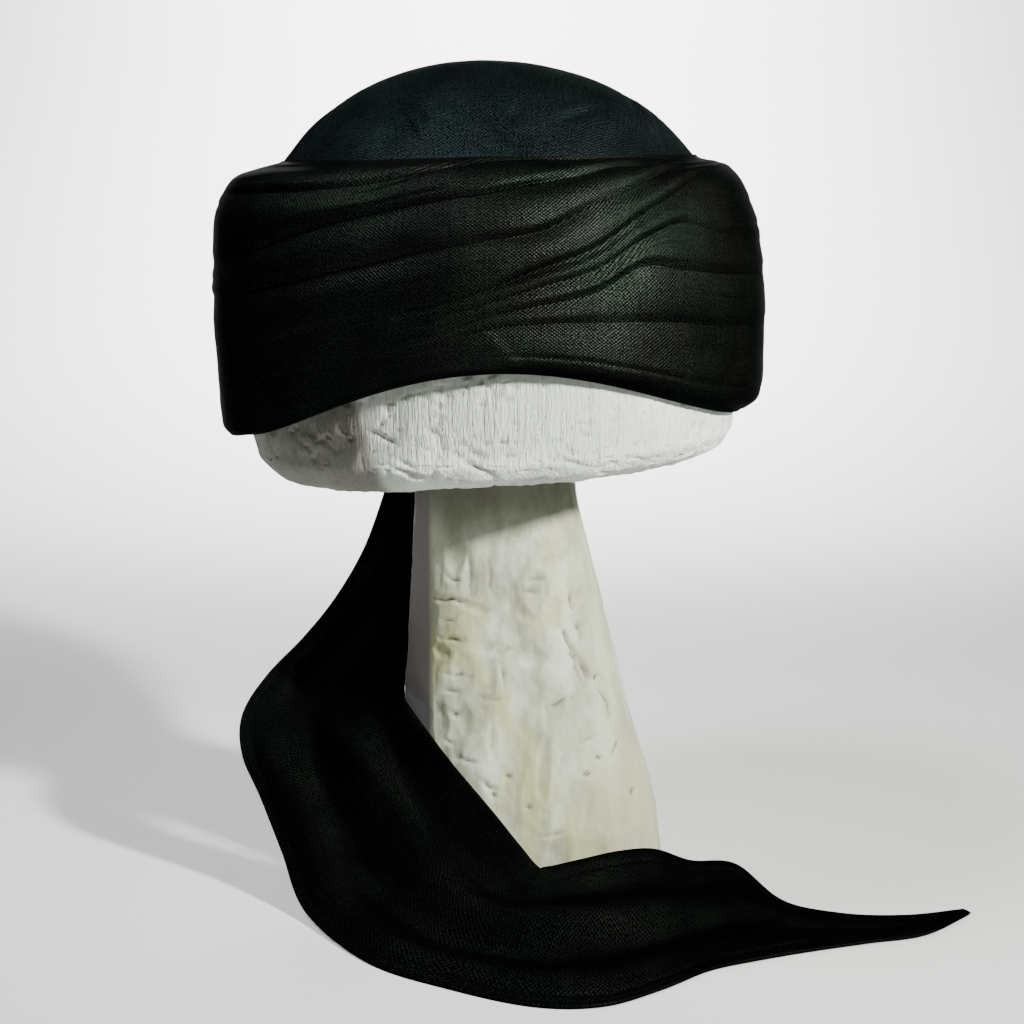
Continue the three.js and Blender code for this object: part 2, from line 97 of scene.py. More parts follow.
across = np.linspace(-SWEEP_HALF_WIDTH, SWEEP_HALF_WIDTH, SWEEP_COLUMNS)
sweep_points = np.array([[(x, y, z) for x in across] for y, z in zip(*SWEEP.values())], float)
sweep = skin("floor", sweep_points, close_columns=False)
sweep.modifiers.new("rounded", "SUBSURF").render_levels = 2
pale_floor = bpy.data.materials.new("pale_floor")
pale_floor.use_nodes = True
pale_surface = pale_floor.node_tree.nodes["Principled BSDF"].inputs
pale_surface["Base Color"].default_value = FLOOR_COLOUR
pale_surface["Roughness"].default_value = 0.9
sweep.data.materials.append(pale_floor)


def lamp(name, place, aim, width, power, spread, colour):
    light = bpy.data.lights.new(name, "AREA")
    light.shape, light.size, light.energy, light.color = "DISK", width, power, colour
    light.spread = math.radians(spread)
    made = bpy.data.objects.new(name, light)
    made.location = Vector(place)
    made.rotation_euler = (Vector(aim) - Vector(place)).to_track_quat("-Z", "Y").to_euler()
    bpy.context.collection.objects.link(made)


lamp("lamp_right", (0.95, -0.785, 0.74), (0, 0, 0.25), 0.12, 7.4, 62, (1.0, 0.985, 0.95))
lamp("lamp_above", (-0.62, -0.32, 1.30), (-0.03, 0, 0.28), 0.5, 2.4, 60, (0.93, 0.98, 1.0))
lamp("lamp_back", (0.0, 0.75, 1.2), (0, 1.34, 0.35), 0.9, 36, 90, (1.0, 1.0, 1.0))
sky = bpy.data.worlds.new("studio")
sky.use_nodes = True
sky.node_tree.nodes["Background"].inputs["Color"].default_value = SKY_COLOUR
sky.node_tree.nodes["Background"].inputs["Strength"].default_value = SKY_STRENGTH
bpy.context.scene.world = sky

# ---------------------------------------------------------------------------------------------
# The stand's post: a billet of soft wood cut down with a knife from a rounded square, wider at
# its right foot, then brushed with thin off-white paint that shows the wood and every cut. Shade
# is painted into it: its left facet is darker, a band at its top is darkened as the block's
# shadow, and its narrow hollows are darkened too.
POST = {
    "height": (0, 3, 14, 32, 54, 73, 93, 116, 145, 168.2),
    "left": (-37, -40, -40, -38.5, -36.5, -35, -33.5, -32, -30.5, -30),
    "right": (62, 65, 65, 63, 57, 51.5, 46.5, 40.5, 33, 29),
    "depth": (41, 44, 44, 43, 40.5, 38, 35, 32, 29, 27),
}
POST_SQUARENESS = 2.6
POST_TOP = 167.6
POST_COLUMNS = 340
LEAN = {"height": (165, 190, 280, 313), "share": (0.042, 0.054, 0.015, 0)}
LEAN_STARTS = 120
FOOT_EDGE = (1.5, 9)  # plain below the first height, cut to the full depth above the second
FACET_EDGE, FACET_TURN = -21.5, math.radians(-64)
FACET_ROUND = 0.5
POST_CUTS = (  # seed, how many, half length, half width, depth, lean, spread of it, lowest, highest
    (3, 110, (26, 52), (8, 15), (0.8, 1.7), 0, 12, 0, 400),
    (4, 160, (9, 20), (4, 8), (0.9, 1.9), 0, 25, 0, 400),
    (5, 26, (7, 12), (3, 5), (1.4, 2.2), 90, 20, 95, 135),
)
POST_SLITS = (  # x and z of each end, half width, depth
    (24.4, 109, 31, 97, 0.8, 1.2), (31, 97, 38, 87, 0.9, 1.4), (38, 87, 46.6, 70.7, 0.9, 1.0),
    (-22, 118, -10.7, 118.5, 0.9, 1.1), (-20, 104.5, -10.7, 104, 0.9, 1.1), (-19, 111, -15, 110.5, 0.6, 0.7),
    (-17, 127, -11, 126, 0.7, 0.7), (8, 121.5, 19, 122.5, 1.2, 0.8), (11, 126, 20, 127, 1.0, 0.6),
    (29, 116, 30.5, 114, 1.0, 1.4), (31, 108.5, 31.8, 106.5, 1.0, 1.3), (37, 90, 40.5, 88, 1.2, 1.5),
    (42, 79, 43, 77, 1.0, 1.2), (52.6, 46, 53.6, 43, 1.3, 1.5), (34, 56, 35.2, 54.4, 0.9, 1.1),
    (39, 61.5, 40, 59.5, 1.0, 1.2), (-15.5, 77.5, -13, 76, 0.9, 1.1), (-18, 67.5, -15.5, 66.5, 0.8, 0.9),
    (-4.5, 53, 0.5, 50, 0.9, 1.1), (-2, 49.5, 1, 47.5, 0.9, 1.1), (5, 55.5, 7, 54, 0.8, 0.9),
    (12, 44.5, 14, 43.5, 0.8, 0.9), (3, 96, 4, 88, 0.7, 0.6), (-2, 133, -1, 121, 0.8, 0.5),
    (27.5, 124, 30.5, 112, 1.1, 1.3), (30, 111, 32.5, 104, 0.8, 0.9), (26, 104, 34, 86, 1.1, 1.0),
    (-9, 138, -8, 121, 0.7, 0.5), (-20, 92, -9, 91, 0.9, 0.8), (-19, 86, -12, 85.5, 0.8, 0.8),
    (-8, 84, 6, 83, 0.8, 0.5), (30, 66, 40, 69, 0.9, 0.5), (44, 60, 48, 66, 0.9, 0.9),
    (20, 80, 28, 83, 1.3, 1.2), (-13, 61, -4, 59.5, 0.8, 0.8), (16, 33, 27, 34, 0.8, 0.5),
)
POST_SLIT_DEPTH = 1.15
SLIT_STRAY = 3.5  # mm from one bend of a slit to the next
POST_GRAIN = (((3, 3, 12), 6, 0.18), ((1.9, 1.9, 2.4), 8, 0.12))  # mm between bumps, seed, depth
POST_PROUD = 0.9  # how far uncut wood stands out over the plain model
# The facet tone, the tone under the block and the tone in the dents are painted shade; the other tones are
# the paint's own.
PAINT = {
    "thin": (0.25, 0.265, 0.18), "thick": (0.47, 0.505, 0.385), "yellowed": (0.36, 0.365, 0.175),
    "cold": (0.50, 0.56, 0.54), "bare wood": (0.22, 0.205, 0.12), "right side": (0.30, 0.31, 0.205),
    "facet shade": (0.125, 0.105, 0.11), "block shadow": (0.07, 0.066, 0.045), "shade_in_dents": (0.11, 0.095, 0.06),
}
PAINT_RIGHT_SIDE = (0.012, 0.045)  # x in m where this tone starts and where it is full
PAINT_FACET_SHADE = (-0.0225, -0.0245)
PAINT_BLOCK_SHADOW = (0.138, 0.158)  # z in m


class Wire:
    """One output of a material's node, which plain arithmetic joins on to."""

    def __init__(self, finish, socket):
        self.finish, self.socket = finish, socket

    def math(self, operation, *values):
        return self.finish.node("ShaderNodeMath", {"operation": operation}, dict(enumerate(values)))

    def __add__(self, other):
        return self.math("ADD", self, other)

    def __sub__(self, other):
        return self.math("SUBTRACT", self, other)

    def __rsub__(self, other):
        return self.math("SUBTRACT", other, self)

    def __mul__(self, other):
        return self.math("MULTIPLY", self, other)

    __radd__ = __add__
    __rmul__ = __mul__

    def clipped(self):
        return self.math("MINIMUM", self.math("MAXIMUM", self, 0.0), 1.0)

    def between(self, low, high):
        """0 at low, 1 at high, smooth between them and level beyond them."""
        values = {"Value": self, "From Min": low, "From Max": high}
        return self.finish.node("ShaderNodeMapRange", {"interpolation_type": "SMOOTHSTEP"}, values)

    def along(self, axis):
        return self.finish.node("ShaderNodeSeparateXYZ", {}, {"Vector": self}, axis)


class Finish:
    """A painted, carved or woven finish: one Principled surface and the nodes that feed it."""

    def __init__(self, name, **constants):
        self.material = bpy.data.materials.new(name)
        self.material.use_nodes = True
        self.tree = self.material.node_tree
        self.surface = self.tree.nodes["Principled BSDF"]
        for socket, value in constants.items():
            self.surface.inputs[socket.replace("_", " ")].default_value = value

    def node(self, kind, settings, values, output=0):
        made = self.tree.nodes.new(kind)
        for name, value in settings.items():
            setattr(made, name, value)
        for name, value in values.items():
            if isinstance(value, Wire):
                self.tree.links.new(value.socket, made.inputs[name])
            else:
                made.inputs[name].default_value = value
        return Wire(self, made.outputs[output])

    def place(self, output="Object"):
        return self.node("ShaderNodeTexCoord", {}, {}, output)

    # a mask for painted shade: darker colour in the mesh's narrow hollows
    def shade_in_dents(self):
        """1 in the narrow hollows of the mesh, 0 on its flats and ridges."""
        return 1 - self.node("ShaderNodeNewGeometry", {}, {}, "Pointiness").between(0.44, 0.5)

    def stretched(self, vector, scale):
        return self.node("ShaderNodeMapping", {}, {"Vector": vector, "Scale": scale})

    def noise(self, vector, scale, detail=3.0, roughness=0.55):
        values = {"Vector": vector, "Scale": scale, "Detail": detail, "Roughness": roughness}
        return self.node("ShaderNodeTexNoise", {}, values)

    def mixed(self, factor, first, second):
        values = {0: factor, 6: (*first, 1) if isinstance(first, tuple) else first}
        values[7] = (*second, 1) if isinstance(second, tuple) else second
        return self.node("ShaderNodeMix", {"data_type": "RGBA"}, values, 2)

    def bumped(self, height, distance, strength, under=None):
        values = {"Height": height, "Distance": distance, "Strength": strength}
        if under is not None:
            values["Normal"] = under
        return self.node("ShaderNodeBump", {}, values)

    def feed(self, **wires):
        for socket, wire in wires.items():
            self.tree.links.new(wire.socket, self.surface.inputs[socket.replace("_", " ")])
        return self.material


def unevenness(points, size, seed):
    """Smooth unevenness between -1 and 1 over points in mm, size mm (one or three) from bump to bump."""
    lattice = np.random.RandomState(seed).uniform(-1, 1, (64, 64, 64))
    place = np.asarray(points, float) / size + 20.5
    cell = np.floor(place).astype(int)
    part = place - cell
    part = part * part * (3 - 2 * part)
    total = 0
    for corner in np.ndindex(2, 2, 2):
        weight = np.prod(np.where(np.array(corner) == 1, part, 1 - part), axis=-1)
        index = (cell + corner) % 64
        total = total + weight * lattice[index[..., 0], index[..., 1], index[..., 2]]
    return total


def layered(points, layers):
    """Layers of unevenness over one another, each with its size, its seed and its depth in mm."""
    return sum(unevenness(points, size, seed) * deep for size, seed, deep in layers)


def outward(points):
    """Unit normals of a closed-round grid of points."""
    round_it = np.roll(points, -1, 1) - np.roll(points, 1, 1)
    normals = np.cross(round_it, np.gradient(points, axis=0))
    normals = normals / np.maximum(np.linalg.norm(normals, axis=-1, keepdims=True), 1e-9)
    return normals * np.sign((normals * (points - points.mean((0, 1)))).sum())


def step(value, low, high):
    """0 at low, 1 at high, smooth between them and level beyond them."""
    way = np.clip((value - low) / (high - low), 0, 1)
    return way * way * (3 - 2 * way)


def bell(distance, half_width):
    """1 in the middle, falling away to nothing on both sides."""
    return np.exp(-(distance / half_width) ** 2)


def rounded_square(height, azimuth):
    left, right, depth = (
        np.interp(height, POST["height"], POST[part]) for part in ("left", "right", "depth")
    )
    side, forward = np.sin(azimuth), np.cos(azimuth)
    size = (abs(side) ** POST_SQUARENESS + abs(forward) ** POST_SQUARENESS) ** (-1 / POST_SQUARENESS)
    x = (left + right) / 2 + (right - left) / 2 * side * size
    return np.stack([x, -depth * forward * size, height + 0 * x], -1)


def scallops(points, normals, seed, count, long, wide, deep, lean, spread, low, high):
    """How deep overlapping knife cuts go at each point: shallow hollows that meet at ridges."""
    pick = np.random.RandomState(seed)
    places, ways = points.reshape(-1, 3), normals.reshape(-1, 3)
    upright = np.hypot(ways[:, 0], ways[:, 1]) > 0.3
    near = np.flatnonzero((places[:, 2] > low) & (places[:, 2] < high) & upright)
    depth = np.zeros(len(places))
    for centre in pick.choice(near, count):
        facing = ways[centre]
        turn = math.radians(lean + pick.uniform(-spread, spread))
        level = np.cross([0, 0, 1], facing)
        level = level / np.linalg.norm(level)
        length, width, cut = (pick.uniform(*bounds) for bounds in (long, wide, deep))
        grain = math.cos(turn) * np.cross(facing, level) + math.sin(turn) * level
        close = np.flatnonzero(abs(places[:, 2] - places[centre, 2]) < length)
        from_centre = places[close] - places[centre]
        run, off = from_centre @ grain / length, from_centre @ np.cross(facing, grain) / width
        hollow = cut * (1 - run ** 2 - off ** 2) * (ways[close] @ facing > 0.2)
        depth[close] = np.maximum(depth[close], hollow)
    return depth.reshape(points.shape[:2])


def slits(points, cuts):
    """How deep the single slips of the knife go, on the front, each from one end to the other."""
    depth = 0
    stray = np.stack([unevenness(points, SLIT_STRAY, seed) for seed in (61, 62)], -1)
    strayed = points[..., [0, 2]] + stray
    for x0, z0, x1, z1, width, deep in cuts:
        run = np.array([x1 - x0, z1 - z0])
        from_end = strayed - [x0, z0]
        along = np.clip(from_end @ run / (run @ run), 0, 1)
        off = np.linalg.norm(from_end - along[..., None] * run, axis=-1)
        taper = np.sin(np.pi * np.clip(along, 0.12, 0.88))
        depth = np.maximum(depth, deep * taper * bell(off, width) * (points[..., 1] < 0))
    return depth


heights = np.concatenate([np.linspace(0, 3, 5), np.linspace(4, POST_TOP, 210)])
azimuth = np.linspace(0, 2 * np.pi, POST_COLUMNS, endpoint=False)
post_points = rounded_square(heights[:, None], azimuth[None, :])
normals = outward(post_points)
cuts = np.max([scallops(post_points, normals, *cut) for cut in POST_CUTS], axis=0)
cuts = cuts + slits(post_points, POST_SLITS) * POST_SLIT_DEPTH
cuts = cuts + layered(post_points, POST_GRAIN) - POST_PROUD
from_edge = np.where(post_points[..., 1] > 0, np.inf, abs(post_points[..., 0] - FACET_EDGE))
facet_line = post_points[np.arange(len(post_points)), from_edge.argmin(1)]
facing = np.array([math.sin(FACET_TURN), -math.cos(FACET_TURN), 0])
cuts = np.maximum(cuts, (post_points - facet_line[:, None]) @ facing - FACET_ROUND)
post_points = post_points - normals * (cuts * step(post_points[..., 2], *FOOT_EDGE))[..., None]
top_share = np.interp(POST["height"][-1], LEAN["height"], LEAN["share"])
post_points[..., 2] += post_points[..., 0] * top_share * step(post_points[..., 2], LEAN_STARTS, POST_TOP)
post_points[0, :, 2] = 0
foot, top = (np.broadcast_to(post_points[row].mean(0), (1, POST_COLUMNS, 3)) for row in (0, -1))
post = skin("post", np.concatenate([foot, post_points, top]))

worn = Finish("worn_paint", IOR=1.45)
place = worn.place()
x, z = place.along("X"), place.along("Z")
streaks = worn.noise(worn.stretched(place, (70, 70, 34)), 1.2, 5, 0.6)
brushed = worn.noise(worn.stretched(place, (640, 640, 90)), 1.0, 3)
patches = worn.noise(worn.stretched(place, (30, 30, 17)), 1.1, 3)
bare = worn.noise(worn.stretched(place, (44, 44, 60)), 1.0, 5, 0.7)
paint = worn.mixed(streaks.between(0.34, 0.66), PAINT["thin"], PAINT["thick"])
paint = worn.mixed(patches.between(0.52, 0.64) * 0.8, paint, PAINT["yellowed"])
paint = worn.mixed(patches.between(0.44, 0.34) * 0.6, paint, PAINT["cold"])
paint = worn.mixed(bare.between(0.60, 0.72) * 0.45, paint, PAINT["bare wood"])
paint = worn.mixed(x.between(*PAINT_RIGHT_SIDE) * 0.5, paint, PAINT["right side"])
# painted shade: the post's left facet is darkened to a dark purple-grey
paint = worn.mixed(x.between(*PAINT_FACET_SHADE) * 0.9, paint, PAINT["facet shade"])
# painted shadow: a dark band at the post's top, where the block's shadow falls
paint = worn.mixed(z.between(*PAINT_BLOCK_SHADOW) * 0.78, paint, PAINT["block shadow"])
# painted shade in the post's narrow hollows and knife cuts
paint = worn.mixed(worn.shade_in_dents() * 0.9, paint, PAINT["shade_in_dents"])
relief = worn.bumped(brushed, 0.0004, 0.4)
relief = worn.bumped(bare, 0.0009, 0.5, relief)
post.data.materials.append(worn.feed(Base_Color=paint, Roughness=0.5 + streaks * 0.25, Normal=relief))
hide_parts("stand_post")
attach(post, "root")

# ---------------------------------------------------------------------------------------------
# The stand's block: a head-sized round of the same wood that fills the turban. Its side is
# upright with a fine open grain, its lower edge is rounded off with a knife, and the thick white
# paint has pits, chips where the blade slipped. Its left is darkened to dark brown as painted
# shade, and its narrow hollows are darkened as painted shade too.
CAP = {
    "height": (168, 240, 251, 262, 272, 281, 289, 296, 303, 308.3, 311.6, 312.8),
    "half": (92.8, 92.8, 89.8, 85.0, 78.8, 72.4, 65.4, 56.8, 45.6, 32.4, 16.6, 0),
    "centre": (-0.8, -0.8, -0.9, -1.1, -1.4, -1.8, -2.1, -2.2, -2.2, -2.2, -2.2, -2.2),
}
CAP_WALL = 92.8
CAP_EXTRA_DEPTH = 5.1
CAP_CLOTH = 1.8
BLOCK_EDGE = {
    "height": (168.5, 170.5, 174.2, 177.6, 179.6, 205),
    "inset": (13.5, 6.4, 1.6, -0.1, 0, 0),
}
BLOCK_CLEARANCE = 0.5
BLOCK_COLUMNS = 480
BLOCK_TOP = (-2.2, 0, 310.5)
BLOCK_HIDDEN_ROWS = (311.6, 303, 289, 272, 251, 230)
BLOCK_UNDER_SHARES = (0.1, 0.3, 0.55, 0.8, 1.0)
LEFT_EDGE = {"cut": 5.5, "drop": 3.5, "azimuth": -62, "spread": 32}
EDGE_CUTS = (23, 150, (14, 30), (5, 9), (0.8, 1.6), 58, 22, 168, 186)
SIDE_CUTS = (24, 90, (16, 36), (7, 14), (0.3, 0.8), 8, 25, 178, 212)
BLOCK_SLITS = (  # x and z of each end, half width, depth
    (-35, 198.6, -34, 192.7, 0.7, 0.8), (-34, 192.7, -37.3, 189.4, 0.7, 0.8),
    (-41, 188.8, -30, 183.5, 0.9, 0.9), (-34.7, 177.3, -19, 171, 1.0, 1.3), (-33, 180, -22, 175, 0.8, 0.8),
    (-12, 181.3, 2, 172.4, 1.0, 1.3), (-9, 184, -2, 180, 0.8, 0.8), (19, 180.3, 33, 175.4, 1.0, 1.0),
    (7, 192.2, 8, 191.2, 0.8, 0.9), (3.4, 186, 4.4, 185, 0.7, 0.8), (69, 191.5, 70, 190.5, 0.9, 0.9),
    (-50, 197, -46, 196, 0.8, 0.7), (-28, 201, -24, 200.5, 0.7, 0.7), (-15, 200, -10, 199.5, 0.6, 0.6),
    (45, 178, 52, 176, 0.8, 0.7), (-60, 186, -52, 180, 0.8, 0.8), (-66, 183, -60, 179, 0.7, 0.7),
)
BLOCK_GRAIN = (((2.1, 2.1, 11), 21, -0.2),)
BLOCK_CHIPS = (((2.2, 2.2, 2.0), 22, 1.0), ((11, 11, 9), 25, 0.6))
CHIP_STARTS, CHIP_DEPTH = (0.5, 0.8), 0.6
BLOCK_PROUD = 0.3
# The left tone and the hollows tone are painted shade; the others are the paint's own.
COAT = {
    "thin": (0.48, 0.54, 0.46), "thick": (0.70, 0.76, 0.68), "grain": (0.42, 0.42, 0.34),
    "pits": (0.22, 0.21, 0.17), "left_shade": (0.115, 0.103, 0.084), "hollows": (0.30, 0.285, 0.23),
}
LEFT_SHADE_LEAN, LEFT_SHADE_EDGE = 0.3, (0.0180, 0.0125)  # m along x, more with the height


def curve(at, keys, values):
    """A smooth line through the named rows."""
    keys, values = np.asarray(keys, float), np.asarray(values, float)
    slopes = np.gradient(values, keys)
    at = np.clip(at, keys[0], keys[-1])
    row = np.clip(np.searchsorted(keys, at, side="right") - 1, 0, len(keys) - 2)
    wide = keys[row + 1] - keys[row]
    way = (at - keys[row]) / wide
    low = (1 + 2 * way) * (1 - way) ** 2 * values[row] + way * (1 - way) ** 2 * wide * slopes[row]
    return low + way ** 2 * (3 - 2 * way) * values[row + 1] + way ** 2 * (way - 1) * wide * slopes[row + 1]


def round_head(azimuth, half_width, half_depth, height, centre):
    x = centre + half_width * np.sin(azimuth)
    y = -half_depth * np.cos(azimuth)
    return np.stack([x, y, height + x * np.interp(height, LEAN["height"], LEAN["share"])], -1)


def cap_side(azimuth, height, out):
    """A point of the cap's outer side, some mm further out."""
    below, half, above = (np.interp(height + up, CAP["height"], CAP["half"]) for up in (-2, 0, 2))
    slope = (below - above) / 4
    size = np.hypot(1, slope)
    depth = half + CAP_EXTRA_DEPTH * half / CAP_WALL
    centre = np.interp(height, CAP["height"], CAP["centre"])
    return round_head(azimuth, half + out / size, depth + out / size, height + out * slope / size, centre)


azimuth = np.linspace(0, 2 * np.pi, BLOCK_COLUMNS, endpoint=False)
inside = CAP_CLOTH + BLOCK_CLEARANCE
left_cut = LEFT_EDGE["cut"] * step(np.sin(azimuth), -0.3, -0.95)
from_left = (np.degrees(azimuth) + 180) % 360 - 180 - LEFT_EDGE["azimuth"]
left_drop = LEFT_EDGE["drop"] * bell(from_left, LEFT_EDGE["spread"])
top = [np.broadcast_to(np.array(BLOCK_TOP), (BLOCK_COLUMNS, 3))]
hidden = [cap_side(azimuth, height, -inside) for height in BLOCK_HIDDEN_ROWS]
seen = []
for height in np.concatenate([np.linspace(214, 181, 56), np.linspace(180.4, 168.5, 44)]):
    inset = left_cut * step(height, 189, 168.5) + curve(height, BLOCK_EDGE["height"], BLOCK_EDGE["inset"])
    seen.append(cap_side(azimuth, height - left_drop * step(height, 190, 170), -inside - inset))
middle = np.array([0, 0, seen[-1][:, 2].mean()])
under = [seen[-1] + (middle - seen[-1]) * share for share in BLOCK_UNDER_SHARES]
block_points = np.array([*top, *hidden, *seen, *under])
normals = outward(block_points)
edge_cuts = scallops(block_points, normals, *EDGE_CUTS) * step(block_points[..., 2], 198, 180)
cuts = np.maximum(edge_cuts * step(np.sin(azimuth), -1.0, -0.6), scallops(block_points, normals, *SIDE_CUTS))
cuts = cuts + slits(block_points, BLOCK_SLITS) + layered(block_points, BLOCK_GRAIN)
cuts = cuts + step(layered(block_points, BLOCK_CHIPS), *CHIP_STARTS) * CHIP_DEPTH - BLOCK_PROUD
rows_from_under = len(block_points) - 1 - np.arange(len(block_points))
shown = step(block_points[..., 2], 222, 212) * step(rows_from_under, 1, 5)[:, None]
block_points = block_points - normals * (cuts * shown)[..., None]
block = skin("block", block_points)

white = Finish("white_paint", Roughness=0.6, IOR=1.46)
place = white.place()
x, z = place.along("X"), place.along("Z")
upright = white.noise(white.stretched(place, (620, 620, 46)), 1.0, 4, 0.65)
fine = white.noise(white.stretched(place, (1500, 1500, 260)), 1.0, 2)
cloudy = white.noise(place, 26, 4)
pits = white.noise(white.stretched(place, (900, 900, 520)), 1.0, 2, 0.4).between(0.68, 0.78)
# painted shade: the block's left is darkened to dark brown, its edge leaning with the height
left_shade = (x + z * LEFT_SHADE_LEAN).between(*LEFT_SHADE_EDGE) * (0.76 + cloudy * 0.24)
coat = white.mixed(cloudy.between(0.35, 0.7), COAT["thin"], COAT["thick"])
coat = white.mixed(upright.between(0.55, 0.72) * 0.45, coat, COAT["grain"])
coat = white.mixed(pits * 0.55, coat, COAT["pits"])
coat = white.mixed(left_shade, coat, COAT["left_shade"])
# painted shade in the block's narrow hollows
coat = white.mixed(white.shade_in_dents() * 0.8, coat, COAT["hollows"])
relief = white.bumped(upright, 0.0014, 0.8)
relief = white.bumped(fine + (1 - pits) * 0.8, 0.0008, 0.7, relief)
block.data.materials.append(white.feed(Base_Color=coat, Roughness=0.48 + cloudy * 0.25, Normal=relief))
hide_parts("stand_block")
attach(block, "root")

# ---------------------------------------------------------------------------------------------
# The cap: a crown of black cloth pulled smooth over a sewn cap, whose side goes down inside the
# wrap and shows as a thin rim under it. The cloth is slack in places and has small puckers.
HEM = {"side": 184, "forehead": 24, "nape": 3}
CAP_RIM_DROP = 0.5
CAP_RIM_SLOPE = 0.4
CAP_COLUMNS = 350
DOME_ROWS, SIDE_ROWS = 96, 26
CROWN_CLOTH = 1.2
SLACK = ((34, 31, 0.7), ((18, 18, 9), 32, 0.35), (6.5, 33, 0.10))  # mm between bumps, seed, depth
SLACK_HEIGHT = (262, 276)
PUCKER_FRONT = (6, 32)
PUCKERS = {  # seen from the front: place, how far it runs to either side, its turn, its depth
    "x": (-27, -24, 4, 8, 30, 50, 53, -60, -8),
    "z": (286, 293, 285, 291, 291, 296, 289, 291, 305),
    "long": (7, 9, 6, 5, 8, 9, 8, 16, 18),
    "wide": (1.6, 2.2, 1.4, 1.8, 1.6, 1.1, 0.9, 1.2, 2.6),
    "turn": (-55, -30, -50, 60, 20, -68, -60, 52, 5),
    "deep": (1.3, 1.0, 1.5, 1.0, 0.8, 0.9, 0.9, 0.6, 0.6),
}
THREAD = 0.72
CLOTH_TINTS = {"between threads": (0.06, 0.06, 0.06), "plum": (3.3, 2.9, 3.15), "green": (2.75, 3.15, 2.95)}
CLOTH_DUST = 3.2


def hem_height(azimuth):
    forward = np.cos(azimuth)
    arch = HEM["forehead"] * np.maximum(0, forward) ** 3
    return HEM["side"] + arch - HEM["nape"] * np.maximum(0, -forward) ** 2


def black_cloth(name, tone, shine, even):
    """Plain-woven black cloth: smooth threads that shine face on and stay dark at the edges.

    The tone is its colour in the light, shine is how rough it is, and even how clear each thread is.
    """
    cloth = Finish(name, Metallic=1.0, Specular_Tint=(0.02, 0.02, 0.02, 1))
    laid = cloth.place("UV")
    wander = (cloth.noise(laid, 0.09, 2) - 0.5) * 1.6
    threads_on = [(laid.along(axis) + wander) * (math.pi / THREAD) for axis in ("X", "Y")]
    across, along = (thread.math("SINE", thread) for thread in threads_on)
    weave = across * along * 0.5 + 0.5
    slub_across = cloth.noise(cloth.stretched(laid, (0.05, 1.7, 1)), 1.0, 2)
    slub_along = cloth.noise(cloth.stretched(laid, (1.7, 0.05, 1)), 1.0, 2)
    slub = slub_across + slub_along - 1.0
    cloudy = cloth.noise(cloth.place(), 30, 4)
    grain = cloth.noise(laid, 1.25, 2, 0.6)
    dust = cloth.noise(laid, 1.1, 3, 0.7).between(0.66, 0.74)
    dark, plum, green = (
        tuple(part * share for part, share in zip(tone, tint)) for tint in CLOTH_TINTS.values()
    )
    worn_tone = cloth.mixed(cloth.noise(cloth.place(), 38, 3).between(0.38, 0.62), plum, green)
    threads = (weave - 0.5) * even + slub * 0.5 + (grain - 0.5) * 2.2 + 0.37
    colour = cloth.mixed(threads.clipped(), dark, worn_tone)
    colour = cloth.mixed(cloudy.between(0.35, 0.7) * 0.5, colour, dark)
    colour = cloth.mixed(dust * 0.35, colour, tuple(part * CLOTH_DUST for part in tone))
    relief = cloth.bumped(weave + grain * 0.8, 0.00016, 0.9)
    return cloth.feed(Base_Color=colour, Roughness=shine + 0.1 - weave * 0.14 + cloudy * 0.1, Normal=relief)


past_crown = {"height": 1, "half": -1, "centre": 1}  # the next row would mirror the one before the last
crown_rows = {name: np.append(CAP[name][1:], sign * CAP[name][-2]) for name, sign in past_crown.items()}
wall_top, crown = CAP["height"][1], len(CAP["height"]) - 2
keys = np.arange(len(crown_rows["height"]))
azimuth = np.linspace(0, 2 * np.pi, CAP_COLUMNS, endpoint=False)
dome = []
for row in np.linspace(crown, 0, DOME_ROWS):
    height, half, centre = (float(curve(row, keys, values)) for values in crown_rows.values())
    half = max(half, 0.0)
    dome.append(round_head(azimuth, half, half + CAP_EXTRA_DEPTH * half / CAP_WALL, height, centre))
rim_height = hem_height(azimuth) - CAP_RIM_DROP - CAP_RIM_SLOPE * np.sin(azimuth)
ways_down = np.linspace(0.04, 1, SIDE_ROWS)
side = [cap_side(azimuth, wall_top + (rim_height - wall_top) * way, 0.0) for way in ways_down]
cap_points = np.array(dome + side)
normals = outward(cap_points)
slack = layered(cap_points, SLACK)
front = step(-cap_points[..., 1], *PUCKER_FRONT)
for x, z, length, width, turn, deep in zip(*PUCKERS.values()):
    angle = math.radians(turn)
    over, up = cap_points[..., 0] - x, cap_points[..., 2] - z
    run = (over * math.cos(angle) + up * math.sin(angle)) / length
    off = (-over * math.sin(angle) + up * math.cos(angle)) / width
    hollow, swell = np.exp(-run ** 2 - off ** 2), np.exp(-run ** 2 - (off - 1.6) ** 2)
    slack = slack - front * deep * (hollow - 0.5 * swell)
slack = slack * step(np.arange(len(cap_points)), 0, 6)[:, None] * step(cap_points[..., 2], *SLACK_HEIGHT)
cap_points = cap_points + normals * slack[..., None]
inner = cap_points - outward(cap_points) * CROWN_CLOTH
from_crown = np.linalg.norm(np.diff(cap_points, axis=0), axis=-1).cumsum(0).mean(1)
from_crown = np.concatenate([[0], from_crown])[:, None]
seam_azimuth = np.append(azimuth, 2 * np.pi)
flat = np.stack([from_crown * np.sin(seam_azimuth), from_crown * np.cos(seam_azimuth)], -1)
cap = skin("crown", np.concatenate([cap_points, inner[::-1]]), np.concatenate([flat, flat[::-1]]))
cap.data.materials.append(black_cloth("crown_cloth", (0.0078, 0.0118, 0.0118), 0.58, 0.5))
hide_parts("cap")
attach(cap, "root")

